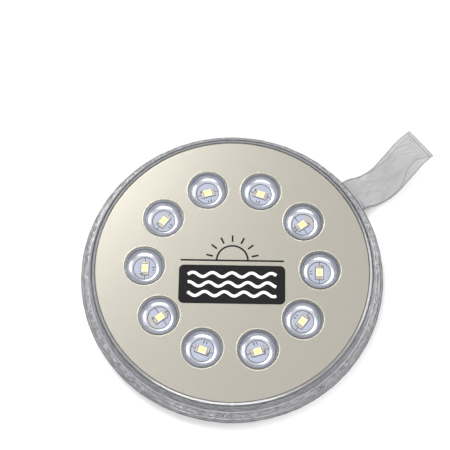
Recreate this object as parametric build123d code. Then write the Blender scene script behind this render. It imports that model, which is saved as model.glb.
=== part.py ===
"""Floating pool light: a flat solar light module sealed in a clear film drum that is blown up to float.

Millimetres. +Z points out of the LED side, +X along the hanging strap. The origin is the centre of the
solar-side film's outer face, which is the face that the folded light rests on.
"""

from build123d import *
import math
import os

# ---------------------------------------------------------------- film drum
film_t = 0.30  # clear PVC film
rim_w = 6.0  # from the casing to the edge of the lower weld flange
flange_w = 4.3  # radial width of the lower weld flange
flange_z = 4.0  # where the base film and the wall film are welded face to face
film_clear = 0.35  # room between the film and the module's casing
film_gap = 0.05  # room between the film and what it lies on
inflate_travel = 96.0  # how far the top film rises when the drum is blown up
pleat_count = 3  # folds in the collapsed side wall
pleat_depth = 2.8
wall_fold_h = 3.9  # height of the collapsed side wall
skirt_lean = 1.5  # how much wider the top film's skirt is at its foot
weld_ridge_r = 0.14
upper_ridges = 4
lower_ridges = 2

# ---------------------------------------------------------------- module casing
module_r = 58.3
casing_wall = 1.5
casing_floor = 1.5
lip_w = 1.0
face_sheet_t = 0.25  # printed sheet glued to the casing's solar face
sheet_clear = 0.15  # room round the sheet's edges
lip_round = 0.5
plate_t = 1.0
plate_chamfer = 0.8
plate_rib_w = 0.9
plate_rib_h = 1.0
fit_clear = 0.25  # room between pieces that drop into each other

# ---------------------------------------------------------------- solar panel
panel_inset = 20.0  # from the casing's side to the panel's, on the axes
panel_corner_r = 6.0
panel_recess = 0.5
glazing_t = 0.3
cell_t = 0.25
panel_base_t = 1.0
ledge_w = 4.0
ledge_t = 1.0
frame_w = 2.0
cell_margin = 2.3  # bare border round the cells
row_gap = 14.0  # bare strip between the two rows
strips_per_row = 5
strip_gap = 0.35
ribbon_w = 1.5
ribbon_gap = 0.15

# ---------------------------------------------------------------- electronics
battery_t = 3.6
battery_share = (0.65, 0.50)  # of the panel's side
battery_pad_t = 0.4
battery_clear = 0.4
guard_board_size = (26.0, 3.0, 1.2)
board_t = 1.0
board_inset = 10.8  # from the casing's side to the board's round edge
flat_beyond_led = 2.5  # from the middle of the ring of cups to the board's flats
board_tab_w = 14.0
screw_inset = 3.0  # from the board's round edge
screw_shank_r = 1.0
screw_head_r = 2.0
screw_head_h = 1.3
screw_len = 4.6  # shank below the board's top
boss_wall = 1.6
switch_side = 6.0
plunger_r = 1.7
plunger_len = 2.0
running_clear = 0.1
lead_r = 0.55
socket_size = (8.0, 4.6, 2.8)
chip_size = (5.0, 4.4, 1.5)
inductor_side = 6.0
inductor_h = 2.2

# ---------------------------------------------------------------- light cups
led_count = 10
cup_inset = 21.4  # from the casing's side to the cups' middles
cup_share = 0.21  # mouth's radius over the ring's
foot_share = 0.645  # foot's radius over the mouth's
cup_depth = 3.5
cup_recess = 0.3  # how far the cup's rim is below the plate's face
cup_t = 0.4
cup_flange_w = 1.45
cup_flange_t = 0.3
cup_hole_clear = 0.2
hole_round = 0.3
led_size = (5.7, 3.0, 0.8)
phosphor_size = (2.7, 2.4, 0.3)
led_inset = 0.4  # the two LEDs beside the board's flats sit this much further in

# ---------------------------------------------------------------- button
button_r = 6.0
button_inset = 8.7  # from the casing's side to the button's middle
button_proud = 0.6
button_clear = 0.10
button_flange_w = 1.0
button_flange_t = 0.6
button_stem_r = 2.0
button_stem_h = 0.3
button_travel = 0.6

# ---------------------------------------------------------------- air valve
valve_inset = 9.0  # from the casing's side to the valve's middle
valve_flange_w = 2.9  # beyond the dish
valve_flange_t = 0.5
flat_clear = 0.3  # from the flange's straight side to the casing's lip
plug_room = 1.4  # round the plug's cap in its dish
dish_wall = 0.5
dish_depth = 1.1
stem_bore_r = 3.3
stem_wall = 1.3
stem_h = 3.3
flap_t = 0.3
plug_cap_r = 6.2
plug_cap_t = 0.9
plug_lift = 0.1  # the cap's outer face above the rest plane
plug_stem_h = 2.8
plug_stem_r = 3.1
plug_tip_r = 2.2
plug_tongue_w = 3.0
plug_tongue_t = 0.36
plug_hinge_gap = 0.9  # from the cap's edge to the hinge line
well_clear = 0.6
well_wall = 0.8
well_ceiling = 1.0
vent_w = 9.0

# ---------------------------------------------------------------- strap
strap_w = 15.5
ply_t = 0.35
strap_root_in = 3.8  # how much of the strap is welded under the flange
strap_fold_gap = 0.80  # half of the bending length at the flange's edge
strap_route = [(0, 0, 0), (6.5, -1.4, -1.5), (13, 0.3, -2.2), (21, 5.0, -1.2), (28, 7.6, 0.2), (35.3, 8.6, 0.8)]
# points of the strap's middle line, from its fold: how far out, how far up and how far to the side

# ---------------------------------------------------------------- heights, from the rest plane up
face_z = film_t + film_gap + button_proud  # outer face of the orange sheet
sheet_back_z = face_z + face_sheet_t
floor_z = face_z + casing_floor
glazing_z = face_z + panel_recess
cell_z = glazing_z + glazing_t
panel_base_z = cell_z + cell_t
panel_back_z = panel_base_z + panel_base_t
frame_z = panel_back_z + ledge_t
battery_z = panel_back_z + battery_pad_t
board_z = battery_z + battery_t + battery_clear
board_top_z = board_z + board_t
cup_rim_z = board_top_z + cup_depth
plate_top_z = cup_rim_z + cup_recess
plate_z = plate_top_z - plate_t
top_film_z = plate_top_z + 2 * film_gap
wall_foot_z = flange_z + film_t
skirt_foot_z = wall_foot_z + wall_fold_h
strap_z = flange_z - film_t - ply_t  # where the strap's two plies meet, under the flange

bag_r = module_r + rim_w
panel_side = 2 * (module_r - panel_inset)
cell_field = panel_side - 2 * cell_margin
row_depth = (cell_field - row_gap) / 2
battery_x = battery_share[0] * panel_side
battery_y = battery_share[1] * panel_side
board_r = module_r - board_inset
screw_ring_r = board_r - screw_inset
cup_ring_r = module_r - cup_inset
cup_mouth_r = cup_share * cup_ring_r
cup_foot_r = foot_share * cup_mouth_r
cup_flange_r = cup_mouth_r + cup_flange_w
board_flat = cup_ring_r + flat_beyond_led
button_y = button_inset - module_r
valve_x = module_r - valve_inset
dish_r = plug_cap_r + plug_room
valve_flange_r = dish_r + dish_wall + valve_flange_w

casing_in_r = module_r - casing_wall
skirt_r = module_r + film_clear
flange_in_r = bag_r - flange_w
window_side = panel_side + 2 * fit_clear
window_corner_r = panel_corner_r + fit_clear
hinge_y = -(plug_cap_r + plug_hinge_gap)
hinge_z = plug_lift + plug_tongue_t / 2
well_r = dish_r + dish_wall + well_clear
valve_flat_x = math.sqrt((module_r - lip_w) ** 2 - well_r ** 2) - flat_clear
well_top_z = board_top_z - well_ceiling - film_gap - 0.15
strap_fold_x = bag_r + strap_fold_gap


# ---------------------------------------------------------------- helpers
def turned(outline):
    """A solid turned about Z from an outline of (radius, height) points."""
    return revolve(make_face(Plane.XZ * Polyline(*outline, close=True)), Axis.Z)


def rod(radius, z_low, z_high, x=0.0, y=0.0):
    body = Cylinder(radius, z_high - z_low, align=(Align.CENTER, Align.CENTER, Align.MIN))
    return Pos(x, y, z_low) * body


def block(size_x, size_y, z_low, z_high, x=0.0, y=0.0):
    body = Box(size_x, size_y, z_high - z_low, align=(Align.CENTER, Align.CENTER, Align.MIN))
    return Pos(x, y, z_low) * body


def rounded_block(side, corner_r, z_low, z_high):
    return Pos(0, 0, z_low) * extrude(RectangleRounded(side, side, corner_r), z_high - z_low)


def cup_places():
    """Angle in degrees and position of each light cup, starting on the strap's side."""
    for i in range(led_count):
        angle = i * 360.0 / led_count
        turn = math.radians(angle)
        yield i, angle, (cup_ring_r * math.cos(turn), cup_ring_r * math.sin(turn))


def screw_places():
    half_step = 180.0 / led_count
    for angle in (3 * half_step, 180 - 3 * half_step, 180 + 3 * half_step, 360 - 3 * half_step):
        turn = math.radians(angle)
        yield screw_ring_r * math.cos(turn), screw_ring_r * math.sin(turn)


# ---------------------------------------------------------------- film drum
def base_film():
    shell = turned([
        (0, 0),
        (skirt_r + film_t, 0),
        (flange_in_r, flange_z - film_t),
        (bag_r, flange_z - film_t),
        (bag_r, flange_z),
        (flange_in_r - film_t, flange_z),
        (skirt_r, film_t),
        (0, film_t),
    ])
    return shell - rod(dish_r + dish_wall + film_gap, -film_t, 2 * film_t, valve_x)


def lower_seam():
    ring = rod(bag_r, flange_z, wall_foot_z) - rod(flange_in_r, flange_z, wall_foot_z)
    for i in range(lower_ridges):
        ridge_r = bag_r - (i + 0.5) * flange_w / (lower_ridges + 2)
        ring += Pos(0, 0, wall_foot_z) * Torus(ridge_r, weld_ridge_r)
    return ring


def side_wall():
    """The collapsed wall: a concertina of film between the two seams."""
    head_r = skirt_r + skirt_lean + film_t
    legs = 2 * pleat_count
    inner = []
    outer = []
    for i in range(legs + 1):
        fold_r = flange_in_r + (head_r - flange_in_r) * i / legs
        if i % 2:
            fold_r = flange_in_r + pleat_depth
        height = wall_foot_z + i * wall_fold_h / legs
        inner.append((fold_r, height))
        outer.append((fold_r + film_t, height))
    return turned(inner + outer[::-1])


def skirt_points(offset):
    """The skirt's top and foot at a distance outside the top film's inner face."""
    return (skirt_r + offset, top_film_z), (skirt_r + skirt_lean + offset, skirt_foot_z)


def top_film():
    inner_top, inner_foot = skirt_points(0)
    outer_top, outer_foot = skirt_points(film_t)
    return turned([
        (0, top_film_z),
        inner_top,
        inner_foot,
        outer_foot,
        (outer_top[0], top_film_z),
        (inner_top[0], top_film_z + film_t),
        (0, top_film_z + film_t),
    ])


def upper_seam():
    """The wall's upper hem, welded round the outside of the top film's skirt."""
    inner_top, inner_foot = skirt_points(film_t)
    outer_top, outer_foot = skirt_points(2 * film_t)
    band = turned([inner_top, inner_foot, outer_foot, outer_top])
    for i in range(upper_ridges):
        share = (i + 0.7) / (upper_ridges + 0.4)
        ridge_r = outer_top[0] + share * (outer_foot[0] - outer_top[0])
        ridge_z = outer_top[1] + share * (outer_foot[1] - outer_top[1])
        band += Pos(0, 0, ridge_z) * Torus(ridge_r, weld_ridge_r)
    return band


# ---------------------------------------------------------------- module casing
def back_shell():
    lip_z = film_t + film_gap
    shell = turned([
        (0, sheet_back_z),
        (module_r - lip_w, sheet_back_z),
        (module_r - lip_w, lip_z),
        (module_r - lip_round, lip_z),
        (module_r, lip_z + lip_round),
        (module_r, plate_z),
        (casing_in_r, plate_z),
        (casing_in_r, floor_z),
        (0, floor_z),
    ])
    shell += rounded_block(window_side + 2 * frame_w, window_corner_r + frame_w, floor_z, frame_z)
    boss_r = screw_shank_r + boss_wall
    for x, y in screw_places():
        shell += rod(boss_r, panel_back_z, board_z, x, y)
    well = rod(well_r + well_wall, floor_z, well_top_z + well_ceiling, valve_x)
    shell += well & rod(module_r, floor_z, plate_z)
    # openings
    shell -= rounded_block(window_side, window_corner_r, face_z - 1, panel_back_z)
    shell -= rounded_block(panel_side - 2 * ledge_w, window_corner_r, panel_back_z, frame_z)
    shell -= rod(button_r + button_clear, face_z - 1, floor_z + 1, 0, button_y)
    shell -= rod(well_r, face_z - 1, well_top_z, valve_x)
    shell -= block(casing_wall + 4, vent_w, face_z, well_top_z, module_r)
    for x, y in screw_places():
        shell -= rod(screw_shank_r, board_top_z - screw_len - 0.2, board_z + 1, x, y)
    return shell


def solar_face_sheet():
    """The orange sheet on the casing's solar face, with holes for the window, the button and the valve."""
    sheet = rod(module_r - lip_w - sheet_clear, face_z, sheet_back_z)
    window = window_side + 2 * sheet_clear
    sheet -= rounded_block(window, window_corner_r + sheet_clear, face_z, sheet_back_z)
    sheet -= rod(button_r + button_clear + sheet_clear, face_z, sheet_back_z, 0, button_y)
    return sheet - rod(well_r + sheet_clear, face_z, sheet_back_z, valve_x)


def reflector_plate():
    plate = turned([
        (0, plate_z),
        (module_r, plate_z),
        (module_r, plate_top_z - plate_chamfer),
        (module_r - plate_chamfer, plate_top_z),
        (0, plate_top_z),
    ])
    rib_r = casing_in_r - fit_clear
    rib_z = plate_z - plate_rib_h
    plate += rod(rib_r, rib_z, plate_z) - rod(rib_r - plate_rib_w, rib_z, plate_z)
    hole_r = cup_mouth_r + cup_t + cup_hole_clear
    cutter = turned([
        (0, plate_z - 1),
        (hole_r, plate_z - 1),
        (hole_r, plate_top_z - hole_round),
        (hole_r + hole_round, plate_top_z),
        (hole_r + hole_round, plate_top_z + 1),
        (0, plate_top_z + 1),
    ])
    for _, _, (x, y) in cup_places():
        plate -= Pos(x, y, 0) * cutter
    return plate


# ---------------------------------------------------------------- light cups
def reflector_cup():
    """A silvered bowl, open at the bottom, hung from the plate by a thin flange."""
    root = math.sqrt(0.5)
    wide = cup_mouth_r - cup_foot_r
    middle = (cup_foot_r + wide * root, cup_rim_z - cup_depth * root)
    flange_top = plate_z
    flange_low = flange_top - cup_flange_t
    outer_r = cup_mouth_r + cup_t
    outline = [
        Line((cup_mouth_r, cup_rim_z), (outer_r, cup_rim_z)),
        Line((outer_r, cup_rim_z), (outer_r, flange_top)),
        Line((outer_r, flange_top), (cup_flange_r, flange_top)),
        Line((cup_flange_r, flange_top), (cup_flange_r, flange_low)),
        Line((cup_flange_r, flange_low), (outer_r, flange_low)),
        ThreePointArc(
            (outer_r, flange_low),
            (middle[0] + cup_t, middle[1] - cup_t / 2),
            (cup_foot_r + cup_t, board_top_z),
        ),
        Line((cup_foot_r + cup_t, board_top_z), (cup_foot_r, board_top_z)),
        ThreePointArc((cup_foot_r, board_top_z), middle, (cup_mouth_r, cup_rim_z)),
    ]
    return revolve(make_face(Plane.XZ * Wire(outline)), Axis.Z)


def led():
    top_z = board_top_z + led_size[2]
    pocket_z = top_z - phosphor_size[2]
    body = block(led_size[0], led_size[1], board_top_z, top_z)
    return body - block(phosphor_size[0], phosphor_size[1], pocket_z, top_z)


def phosphor():
    top_z = board_top_z + led_size[2]
    return block(phosphor_size[0], phosphor_size[1], top_z - phosphor_size[2], top_z)


# ---------------------------------------------------------------- electronics
def led_board():
    board = rod(board_r, board_z, board_top_z) & block(2 * board_flat, 2 * board_r, board_z, board_top_z)
    tab_end = button_y - switch_side / 2 - 2.4
    board += block(board_tab_w, -tab_end, board_z, board_top_z, 0, tab_end / 2)
    for x, y in screw_places():
        board -= rod(screw_shank_r + running_clear, board_z, board_top_z, x, y)
    return board


def board_screws():
    head_z = board_top_z + screw_head_h
    screws = []
    for x, y in screw_places():
        screw = rod(screw_shank_r - 0.03, board_top_z - screw_len, board_top_z, x, y)
        screw += rod(screw_head_r, board_top_z, head_z, x, y)
        slot = block(0.5, 2.2, head_z - 0.6, head_z, x, y)
        slot += block(2.2, 0.5, head_z - 0.6, head_z, x, y)
        screws.append(screw - slot)
    return screws


def cell_row(side):
    """Ten cell strips, five on each side of the ribbon. side is -1 for the button's row and +1 for the other."""
    pitch = row_depth / strips_per_row
    column = cell_field / 2 - ribbon_w / 2 - ribbon_gap
    strips = []
    for i in range(strips_per_row):
        y = side * (row_gap / 2 + (i + 0.5) * pitch)
        for way in (-1, 1):
            x = way * (ribbon_w / 2 + ribbon_gap + column / 2)
            strips.append(block(column, pitch - strip_gap, cell_z, panel_base_z, x, y))
    return strips


def cell_ribbons():
    middle = row_gap / 2 + row_depth / 2
    return [block(ribbon_w, row_depth, cell_z, panel_base_z, 0, side * middle) for side in (-1, 1)]


def battery_cell():
    body = block(battery_x, battery_y, battery_z, battery_z + battery_t)
    return fillet(body.edges().filter_by(Axis.Y), 0.45 * battery_t)


def guard_board():
    x, y, t = guard_board_size
    return block(x, y, battery_z + 0.8, battery_z + 0.8 + t, 0, battery_y / 2 + y / 2)


def battery_socket():
    x, y, t = socket_size
    body = block(x, y, board_z - t, board_z, 0, socket_y())
    return body - block(x - 1.6, y - 1.0, board_z - t + 0.6, board_z - 0.6, 0, socket_y() - 0.5)


def socket_y():
    return battery_y / 2 + guard_board_size[1] + 7.0


def battery_plug():
    x, y, t = socket_size
    low = board_z - t + 0.6 + running_clear
    high = board_z - 0.6 - running_clear
    return block(x - 1.6 - 2 * running_clear, y - 1.0, low, high, 0, socket_y() - 0.5 - 0.5)


def battery_lead(side):
    """One of the two leads from the cell's guard board to its plug."""
    x = side * 1.6
    start_y = battery_y / 2 + guard_board_size[1]
    end_y = socket_y() - 0.5 - (socket_size[1] - 1.0) / 2 - 0.5
    low = battery_z + 0.8 + guard_board_size[2] / 2
    high = board_z - socket_size[2] / 2
    span = end_y - start_y
    route = FilletPolyline(
        (x, start_y, low), (x, start_y + 0.3 * span, low), (x, start_y + 0.7 * span, high), (x, end_y, high),
        radius=1.2,
    )
    return sweep(Plane(origin=route @ 0, z_dir=route % 0) * Circle(lead_r), path=route)


def panel_lead(side):
    """One of the two leads that climb from the solar panel's back to the board."""
    x = side * 2.0
    y = -(battery_y / 2 + 4.0)
    middle = (panel_back_z + board_z) / 2
    step = 3.0
    route = FilletPolyline(
        (x, y, panel_back_z), (x, y, middle), (x, y - step, middle), (x, y - step, board_z), radius=1.1
    )
    return sweep(Plane(origin=route @ 0, z_dir=route % 0) * Circle(lead_r), path=route)


def inductor():
    body = block(inductor_side, inductor_side, board_top_z, board_top_z + inductor_h, 8, 5)
    return fillet(body.edges().filter_by(Axis.Z), 1.5)


def small_parts():
    """Resistors and capacitors of the charging circuit."""
    spots = [(-14, 8), (-14, 4), (-14, 0), (-2, 10), (2, 10), (8, -4), (8, -8), (-4, -9)]
    return [block(2.0, 1.2, board_top_z, board_top_z + 0.8, x, y) for x, y in spots]


# ---------------------------------------------------------------- button
def button_top_z():
    return floor_z + film_gap + button_flange_t + button_stem_h


def button():
    low = face_z - button_proud
    flange_low = floor_z + film_gap
    cap = rod(button_r, low, flange_low + button_flange_t, 0, button_y)
    cap = chamfer(cap.faces().sort_by(Axis.Z)[0].edges(), 0.25)
    cap += rod(button_r + button_flange_w, flange_low, flange_low + button_flange_t, 0, button_y)
    return cap + rod(button_stem_r, flange_low + button_flange_t, button_top_z(), 0, button_y)


def tact_switch():
    low = button_top_z() + button_travel + running_clear
    body = block(switch_side, switch_side, low, board_z, 0, button_y)
    return body - rod(plunger_r + running_clear, low, low + plunger_len, 0, button_y)


def switch_plunger():
    return rod(plunger_r, button_top_z(), button_top_z() + plunger_len, 0, button_y)


# ---------------------------------------------------------------- air valve
def valve_body():
    """A welded flange with a shallow dish, a blowing tube inside the drum and the plug's hinge root."""
    flange_top = film_t + valve_flange_t
    dish_out_r = dish_r + dish_wall
    floor_low = film_t + dish_depth
    floor_high = floor_low + valve_flange_t
    body = rod(valve_flange_r, film_t, flange_top)
    body += rod(dish_out_r, film_t, floor_high)
    body += rod(stem_bore_r + stem_wall, floor_high, floor_high + stem_h)
    body -= rod(dish_r, film_t, floor_low)
    body -= rod(stem_bore_r, film_t, floor_high + stem_h)
    root_gap = 0.2
    root_len = dish_r + hinge_y - root_gap + 0.2
    root_y = hinge_y - root_gap - root_len / 2
    root_z = hinge_z + plug_tongue_t / 2 + 0.05
    body += block(plug_tongue_w, root_len, root_z, root_z + valve_flange_t, 0, root_y)
    keep = 2 * (valve_flat_x - valve_x)
    body &= block(2 * bag_r, 2 * bag_r, 0, plate_z, keep / 2 - bag_r)
    return Pos(valve_x, 0, 0) * body


def valve_flap():
    low = film_t + dish_depth + valve_flange_t + stem_h
    return rod(stem_bore_r + stem_wall, low, low + flap_t, valve_x)


def valve_plug():
    cap_top = plug_lift + plug_cap_t
    plug = rod(plug_cap_r, plug_lift, cap_top)
    plug += turned([
        (0, cap_top),
        (plug_stem_r, cap_top),
        (plug_tip_r, cap_top + plug_stem_h),
        (0, cap_top + plug_stem_h),
    ])
    tongue_len = plug_hinge_gap + 1.0
    tongue = block(plug_tongue_w, tongue_len, plug_lift, plug_lift + plug_tongue_t, 0, hinge_y + tongue_len / 2)
    tab_len = dish_r - plug_cap_r - 0.3
    tab = block(plug_tongue_w, tab_len + 1.0, plug_lift, plug_lift + plug_tongue_t, 0, plug_cap_r + tab_len / 2 - 0.5)
    return Pos(valve_x, 0, 0) * (plug + tongue + tab)


# ---------------------------------------------------------------- strap
def strap_root(side):
    """A ply's end, welded to the flange's underside. side is +1 for the ply against the flange."""
    low = strap_z if side > 0 else strap_z - ply_t
    length = strap_root_in + strap_fold_gap / 4
    return block(length, strap_w, low, low + ply_t, bag_r - strap_root_in + length / 2)


def strap_ply(side):
    """One free ply of the strap, lofted along the strap's bend."""
    start_x = strap_fold_x + strap_fold_gap
    points = [(start_x + out, aside, strap_z + up) for out, up, aside in strap_route]
    route = Spline(*points, tangents=[(1, 0, 0), (1, 0, 0)])
    stations = 2 * len(strap_route)
    outlines = []
    for i in range(stations + 1):
        share = i / stations
        across = Plane(origin=route @ share, x_dir=(0, 1, 0), z_dir=route % share)
        outlines.append(across * Pos(0, side * ply_t / 2, 0) * Rectangle(strap_w, ply_t))
    return loft(outlines)


# ---------------------------------------------------------------- all nodes
def all_nodes():
    nodes = {
        "base_film": base_film(),
        "lower_seam": lower_seam(),
        "side_wall": side_wall(),
        "top_film": top_film(),
        "upper_seam": upper_seam(),
        "valve_body": valve_body(),
        "valve_flap": valve_flap(),
        "valve_plug": valve_plug(),
        "strap_root": [strap_root(1), strap_root(-1)],
        "strap_upper_ply": strap_ply(1),
        "strap_lower_ply": strap_ply(-1),
        "back_shell": back_shell(),
        "solar_face_sheet": solar_face_sheet(),
        "reflector_plate": reflector_plate(),
        "solar_panel_base": rounded_block(panel_side, panel_corner_r, panel_base_z, panel_back_z),
        "solar_cells_row_1": cell_row(-1),
        "solar_cells_row_2": cell_row(1),
        "cell_ribbons": cell_ribbons(),
        "panel_glazing": rounded_block(panel_side, panel_corner_r, glazing_z, cell_z),
        "button": button(),
        "switch_plunger": switch_plunger(),
        "tact_switch": tact_switch(),
        "battery_pad": block(battery_x - 12, battery_y - 12, panel_back_z, battery_z),
        "battery_cell": battery_cell(),
        "battery_guard_board": guard_board(),
        "battery_plug": battery_plug(),
        "battery_socket": battery_socket(),
        "battery_lead_red": battery_lead(1),
        "battery_lead_black": battery_lead(-1),
        "panel_lead_red": panel_lead(1),
        "panel_lead_black": panel_lead(-1),
        "led_board": led_board(),
        "board_screws": board_screws(),
        "driver_chip": block(chip_size[0], chip_size[1], board_top_z, board_top_z + chip_size[2], -6, 2),
        "charge_inductor": inductor(),
        "small_parts": small_parts(),
    }
    cup_shape = reflector_cup()
    led_shape = led()
    phosphor_shape = phosphor()
    phosphors = []
    for i, angle, (x, y) in cup_places():
        # LEDs lie across the radius, except the two by the board's flats, which lie along it
        on_flat = i in (0, led_count // 2)
        inset = led_inset if on_flat else 0.0
        lay = Rot(0, 0, angle) * Pos(cup_ring_r - inset, 0, 0) * Rot(0, 0, 0 if on_flat else 90)
        nodes[f"reflector_cup_{i + 1:02d}"] = Pos(x, y, 0) * cup_shape
        nodes[f"led_{i + 1:02d}"] = lay * led_shape
        phosphors.append(lay * phosphor_shape)
    nodes["led_phosphors"] = phosphors
    return nodes


def main():
    os.makedirs("parts", exist_ok=True)
    for name, shape in all_nodes().items():
        whole = Compound(children=shape) if isinstance(shape, list) else shape
        export_step(whole, f"parts/{name}.step")


main()
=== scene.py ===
"""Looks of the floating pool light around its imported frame: film drum, strap, prints, LED details."""

import math

import bpy
import numpy as np
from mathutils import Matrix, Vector


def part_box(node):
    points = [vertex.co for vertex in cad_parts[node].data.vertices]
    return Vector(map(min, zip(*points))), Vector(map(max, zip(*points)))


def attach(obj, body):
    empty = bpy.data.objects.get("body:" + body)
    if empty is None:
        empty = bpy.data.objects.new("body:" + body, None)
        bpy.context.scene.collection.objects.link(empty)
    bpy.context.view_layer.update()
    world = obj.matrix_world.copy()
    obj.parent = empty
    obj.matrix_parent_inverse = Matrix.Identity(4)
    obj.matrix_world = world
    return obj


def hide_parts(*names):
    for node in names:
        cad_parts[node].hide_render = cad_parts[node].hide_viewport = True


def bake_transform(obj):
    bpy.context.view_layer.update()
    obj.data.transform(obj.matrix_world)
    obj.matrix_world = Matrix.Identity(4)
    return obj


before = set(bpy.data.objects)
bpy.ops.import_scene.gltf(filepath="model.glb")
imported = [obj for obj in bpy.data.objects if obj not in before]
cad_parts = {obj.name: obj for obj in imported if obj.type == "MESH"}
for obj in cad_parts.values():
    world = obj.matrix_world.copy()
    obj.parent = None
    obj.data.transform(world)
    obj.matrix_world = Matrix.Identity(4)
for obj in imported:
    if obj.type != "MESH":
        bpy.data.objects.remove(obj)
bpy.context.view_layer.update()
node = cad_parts
MM = 0.001

# ------------------------------------------------------------------ sizes read from the frame, in mm
def box_mm(name):
    """The low and high corners of a CAD node's box, in mm."""
    return [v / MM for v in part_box(name)]


plate_top = box_mm("reflector_plate")[1].z
base_high = box_mm("base_film")[1]
bag_r, flange_z = base_high.x, base_high.z
seam_low = box_mm("upper_seam")[0]
film_low, film_high = box_mm("top_film")
wall_low, wall_high = box_mm("side_wall")
root_low, root_high = box_mm("strap_root")
board_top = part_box("led_board")[1].z / MM
board_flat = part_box("led_board")[1].x / MM
face_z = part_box("solar_face_sheet")[0].z / MM

# The part's own sizes, which the boxes can't tell.
film_t = 0.3
flange_in = bag_r - 4.3  # where the flange leaves the wall
skirt_foot_r = film_high.x - film_t
cup_ring_r = 36.9
cup_count = 10
valve_x = 49.3
VIEW_TURN = math.radians(-35.4)  # the camera's azimuth, and the prints' tilt

NOISE_DETAIL = 4.0
NOISE_LOW, NOISE_HIGH = 0.3, 0.7  # most of a noise texture's values lie between these
COAT_ROUGH = 0.12
DEEP_SHADE = (0.1, 0.105, 0.12, 1)


# ------------------------------------------------------------------ materials
def tree_of(name):
    """A new material, its node tree and its Principled node."""
    mat = bpy.data.materials.new(name)
    mat.use_nodes = True
    nt = mat.node_tree
    return mat, nt, nt.nodes["Principled BSDF"]


def noise_node(nt, scale, stretch=None):
    """A noise texture in the object's own coordinates, stretched by three factors if given."""
    coord = nt.nodes.new("ShaderNodeTexCoord")
    tex = nt.nodes.new("ShaderNodeTexNoise")
    tex.inputs["Scale"].default_value = scale
    tex.inputs["Detail"].default_value = NOISE_DETAIL
    if stretch:
        shape = nt.nodes.new("ShaderNodeMapping")
        shape.inputs["Scale"].default_value = stretch
        nt.links.new(coord.outputs["Object"], shape.inputs["Vector"])
        nt.links.new(shape.outputs["Vector"], tex.inputs["Vector"])
    else:
        nt.links.new(coord.outputs["Object"], tex.inputs["Vector"])
    return tex


def ranged(nt, socket, low, high):
    """A noise value spread from low to high."""
    mapped = nt.nodes.new("ShaderNodeMapRange")
    mapped.inputs["From Min"].default_value = NOISE_LOW
    mapped.inputs["From Max"].default_value = NOISE_HIGH
    mapped.inputs["To Min"].default_value = low
    mapped.inputs["To Max"].default_value = high
    nt.links.new(socket, mapped.inputs["Value"])
    return mapped.outputs["Result"]


def paint_shade_above(mat, low, high, share):
    """Paint shade into a surface's colour with height, darker from low to high in metres."""
    nt = mat.node_tree
    base = nt.nodes["Principled BSDF"].inputs["Base Color"]
    source = base.links[0].from_socket
    coord = nt.nodes.new("ShaderNodeTexCoord")
    split = nt.nodes.new("ShaderNodeSeparateXYZ")
    level = nt.nodes.new("ShaderNodeMapRange")
    level.inputs["From Min"].default_value = low
    level.inputs["From Max"].default_value = high
    level.inputs["To Min"].default_value = 0.0
    level.inputs["To Max"].default_value = share
    mix = nt.nodes.new("ShaderNodeMix")
    mix.data_type = "RGBA"
    mix.inputs["B"].default_value = DEEP_SHADE
    nt.links.new(coord.outputs["Object"], split.inputs["Vector"])
    nt.links.new(split.outputs["Z"], level.inputs["Value"])
    nt.links.new(level.outputs["Result"], mix.inputs["Factor"])
    nt.links.new(source, mix.inputs["A"])
    nt.links.new(mix.outputs["Result"], base)


def surface(name, colour, rough=0.5, metal=0.0, vary=0.06, grain=700.0, bump=0.15, depth=0.00005,
            alpha=1.0, ior=1.5, coat=0.0, rough_vary=0.1, stretch=None):
    """A Principled material with a mottled colour, uneven roughness and a fine bump."""
    mat, nt, bsdf = tree_of(name)
    tex = noise_node(nt, grain, stretch)
    mix = nt.nodes.new("ShaderNodeMix")
    mix.data_type = "RGBA"
    dark = [c * (1 - vary) for c in colour]
    light = [min(1.0, c * (1 + vary)) for c in colour]
    mix.inputs["A"].default_value = (*dark, 1)
    mix.inputs["B"].default_value = (*light, 1)
    nt.links.new(ranged(nt, tex.outputs["Fac"], 0, 1), mix.inputs["Factor"])
    nt.links.new(mix.outputs["Result"], bsdf.inputs["Base Color"])
    smoothest, roughest = max(0.02, rough - rough_vary), min(1, rough + rough_vary)
    nt.links.new(ranged(nt, tex.outputs["Fac"], smoothest, roughest), bsdf.inputs["Roughness"])
    if bump:
        node_bump = nt.nodes.new("ShaderNodeBump")
        node_bump.inputs["Strength"].default_value = bump
        node_bump.inputs["Distance"].default_value = depth
        nt.links.new(tex.outputs["Fac"], node_bump.inputs["Height"])
        nt.links.new(node_bump.outputs["Normal"], bsdf.inputs["Normal"])
    bsdf.inputs["Metallic"].default_value = metal
    bsdf.inputs["Alpha"].default_value = alpha
    bsdf.inputs["IOR"].default_value = ior
    bsdf.inputs["Coat Weight"].default_value = coat
    bsdf.inputs["Coat Roughness"].default_value = COAT_ROUGH
    return mat


# ------------------------------------------------------------------ mesh helpers
def make_object(name, verts, faces, mats, body=None, slots=None, smooth=True):
    """A mesh object from verts in mm. It rides on a body and takes a slot if they are given."""
    mesh = bpy.data.meshes.new(name)
    mesh.from_pydata([tuple(v) for v in np.asarray(verts) * MM], [], faces)
    mesh.validate()
    for m in mats if isinstance(mats, (list, tuple)) else [mats]:
        mesh.materials.append(m)
    if slots is not None:
        mesh.polygons.foreach_set("material_index", slots)
    mesh.polygons.foreach_set("use_smooth", [smooth] * len(mesh.polygons))
    mesh.update()
    obj = bpy.data.objects.new(name, mesh)
    bpy.context.scene.collection.objects.link(obj)
    if body:
        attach(obj, body)
    return obj


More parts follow.
